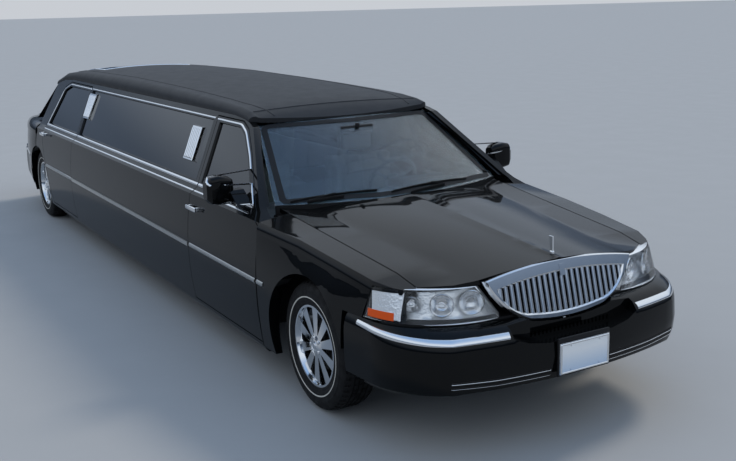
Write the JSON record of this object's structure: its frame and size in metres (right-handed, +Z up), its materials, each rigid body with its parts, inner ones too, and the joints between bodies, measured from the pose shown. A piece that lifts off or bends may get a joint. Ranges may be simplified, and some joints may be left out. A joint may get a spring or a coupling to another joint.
{
  "type": "stretch limousine",
  "caption": "Long black saloon with a stretched cabin, hinged doors, hood and boot lid, steered front wheels, chrome grille and dark side windows.",
  "frame": {"origin": "on the ground below the middle of the car's overall length and width", "axes": "+X to the front, +Y to the car's left, +Z up"},
  "size_m": [8.536, 2.214, 1.565],
  "materials": {
    "black_paint": "gloss",
    "vinyl_roof": "matte grained",
    "chrome_trim": "polished",
    "clear_glass": "tinted",
    "privacy_glass": "dark tinted",
    "lamp_lens": "clear",
    "red_lens": "gloss",
    "black_plastic": "matte",
    "interior_leather": "satin",
    "interior_trim": "matte",
    "frame_steel": "satin",
    "cast_metal": "rough",
    "tyre_rubber": "matte",
    "plate_white": "satin"
  },
  "bodies": {
    "root": {"bar_cabinet": "interior_trim", "body_side_left": "black_paint", "body_side_right": "black_paint", "boot_liner": "interior_trim", "chassis_frame": "frame_steel", "cowl": "black_plastic", "dashboard": "interior_trim", "engine_block": "cast_metal", "exhaust": "frame_steel", "fender_left": "black_paint", "fender_right": "black_paint", "firewall": "frame_steel", "floor_pan": "frame_steel", "front_bumper": "black_paint", "front_plate": "plate_white", "front_seats": "interior_leather", "front_suspension": "frame_steel", "fuel_tank": "black_plastic", "grille": "chrome_trim", "headlamps": "lamp_lens", "inner_fenders": "black_plastic", "long_windows": "privacy_glass", "lounge_seat": "interior_leather", "nose_carrier": "black_plastic", "partition": "interior_trim", "rear_axle": "cast_metal", "rear_bench": "interior_leather", "rear_bumper": "black_paint", "rear_window": "privacy_glass", "roof": "vinyl_roof", "roof_hatch": "privacy_glass", "side_moulding": "chrome_trim", "steering_column": "interior_trim", "tail_lamps": "red_lens", "window_bars": "chrome_trim", "windscreen": "clear_glass"},
    "hood": {"hood": "black_paint", "hood_ornament": "chrome_trim"},
    "boot_lid": {"boot_lid": "black_paint"},
    "door_front_left": {"door_front_left": "black_paint", "glass_front_door_left": "privacy_glass"},
    "door_front_right": {"door_front_right": "black_paint", "glass_front_door_right": "privacy_glass"},
    "door_rear_left": {"door_rear_left": "black_paint", "glass_rear_door_left": "privacy_glass"},
    "door_rear_right": {"door_rear_right": "black_paint", "glass_rear_door_right": "privacy_glass"},
    "knuckle_left": {"knuckle_left": "cast_metal"},
    "knuckle_right": {"knuckle_right": "cast_metal"},
    "steering_wheel": {"steering_wheel": "interior_trim"},
    "wheel_front_left": {"tyre_front_left": "tyre_rubber", "rim_front_left": "chrome_trim"},
    "wheel_front_right": {"tyre_front_right": "tyre_rubber", "rim_front_right": "chrome_trim"},
    "wheel_rear_left": {"tyre_rear_left": "tyre_rubber", "rim_rear_left": "chrome_trim"},
    "wheel_rear_right": {"tyre_rear_right": "tyre_rubber", "rim_rear_right": "chrome_trim"}
  },
  "joints": [
    {"name": "hood_hinge", "type": "hinge", "parent": "root", "child": "hood", "pos_m": [2.541, 0, 1], "axis": [0, -1, 0], "range_deg": [0, 50]},
    {"name": "boot_hinge", "type": "hinge", "parent": "root", "child": "boot_lid", "pos_m": [-3.402, 0, 1], "axis": [0, 1, 0], "range_deg": [0, 70]},
    {"name": "steer_left", "type": "hinge", "parent": "root", "child": "knuckle_left", "pos_m": [3.181, 0.73, 0.351], "axis": [0, 0, 1], "range_deg": [-35, 35]},
    {"name": "steer_right", "type": "hinge", "parent": "root", "child": "knuckle_right", "pos_m": [3.181, -0.73, 0.351], "axis": [0, 0, 1], "range_deg": [-35, 35]},
    {"name": "steering_wheel_turn", "type": "hinge", "parent": "root", "child": "steering_wheel", "pos_m": [1.928, 0.37, 0.916], "axis": [-0.9063, 0, 0.4226], "range_deg": [-560, 560]},
    {"name": "front_door_left", "type": "hinge", "parent": "root", "child": "door_front_left", "pos_m": [2.625, 0.976, 0.6], "axis": [0, 0, 1], "range_deg": [-65, 0]},
    {"name": "rear_door_left", "type": "hinge", "parent": "root", "child": "door_rear_left", "pos_m": [-1.503, 0.976, 0.6], "axis": [0, 0, 1], "range_deg": [-65, 0]},
    {"name": "front_door_right", "type": "hinge", "parent": "root", "child": "door_front_right", "pos_m": [2.625, -0.976, 0.6], "axis": [0, 0, 1], "range_deg": [0, 65]},
    {"name": "rear_door_right", "type": "hinge", "parent": "root", "child": "door_rear_right", "pos_m": [-1.503, -0.976, 0.6], "axis": [0, 0, 1], "range_deg": [0, 65]},
    {"name": "wheel_front_left_spin", "type": "hinge", "parent": "knuckle_left", "child": "wheel_front_left", "pos_m": [3.181, 0.805, 0.351], "axis": [0, 1, 0], "continuous": true},
    {"name": "wheel_front_right_spin", "type": "hinge", "parent": "knuckle_right", "child": "wheel_front_right", "pos_m": [3.181, -0.805, 0.351], "axis": [0, 1, 0], "continuous": true},
    {"name": "wheel_rear_left_spin", "type": "hinge", "parent": "root", "child": "wheel_rear_left", "pos_m": [-2.857, 0.8305, 0.351], "axis": [0, 1, 0], "continuous": true},
    {"name": "wheel_rear_right_spin", "type": "hinge", "parent": "root", "child": "wheel_rear_right", "pos_m": [-2.857, -0.8305, 0.351], "axis": [0, 1, 0], "continuous": true}
  ],
  "couplings": [
    {"joint": "steer_right", "follows": "steer_left", "ratio": 1},
    {"joint": "steering_wheel_turn", "follows": "steer_left", "ratio": 16}
  ]
}
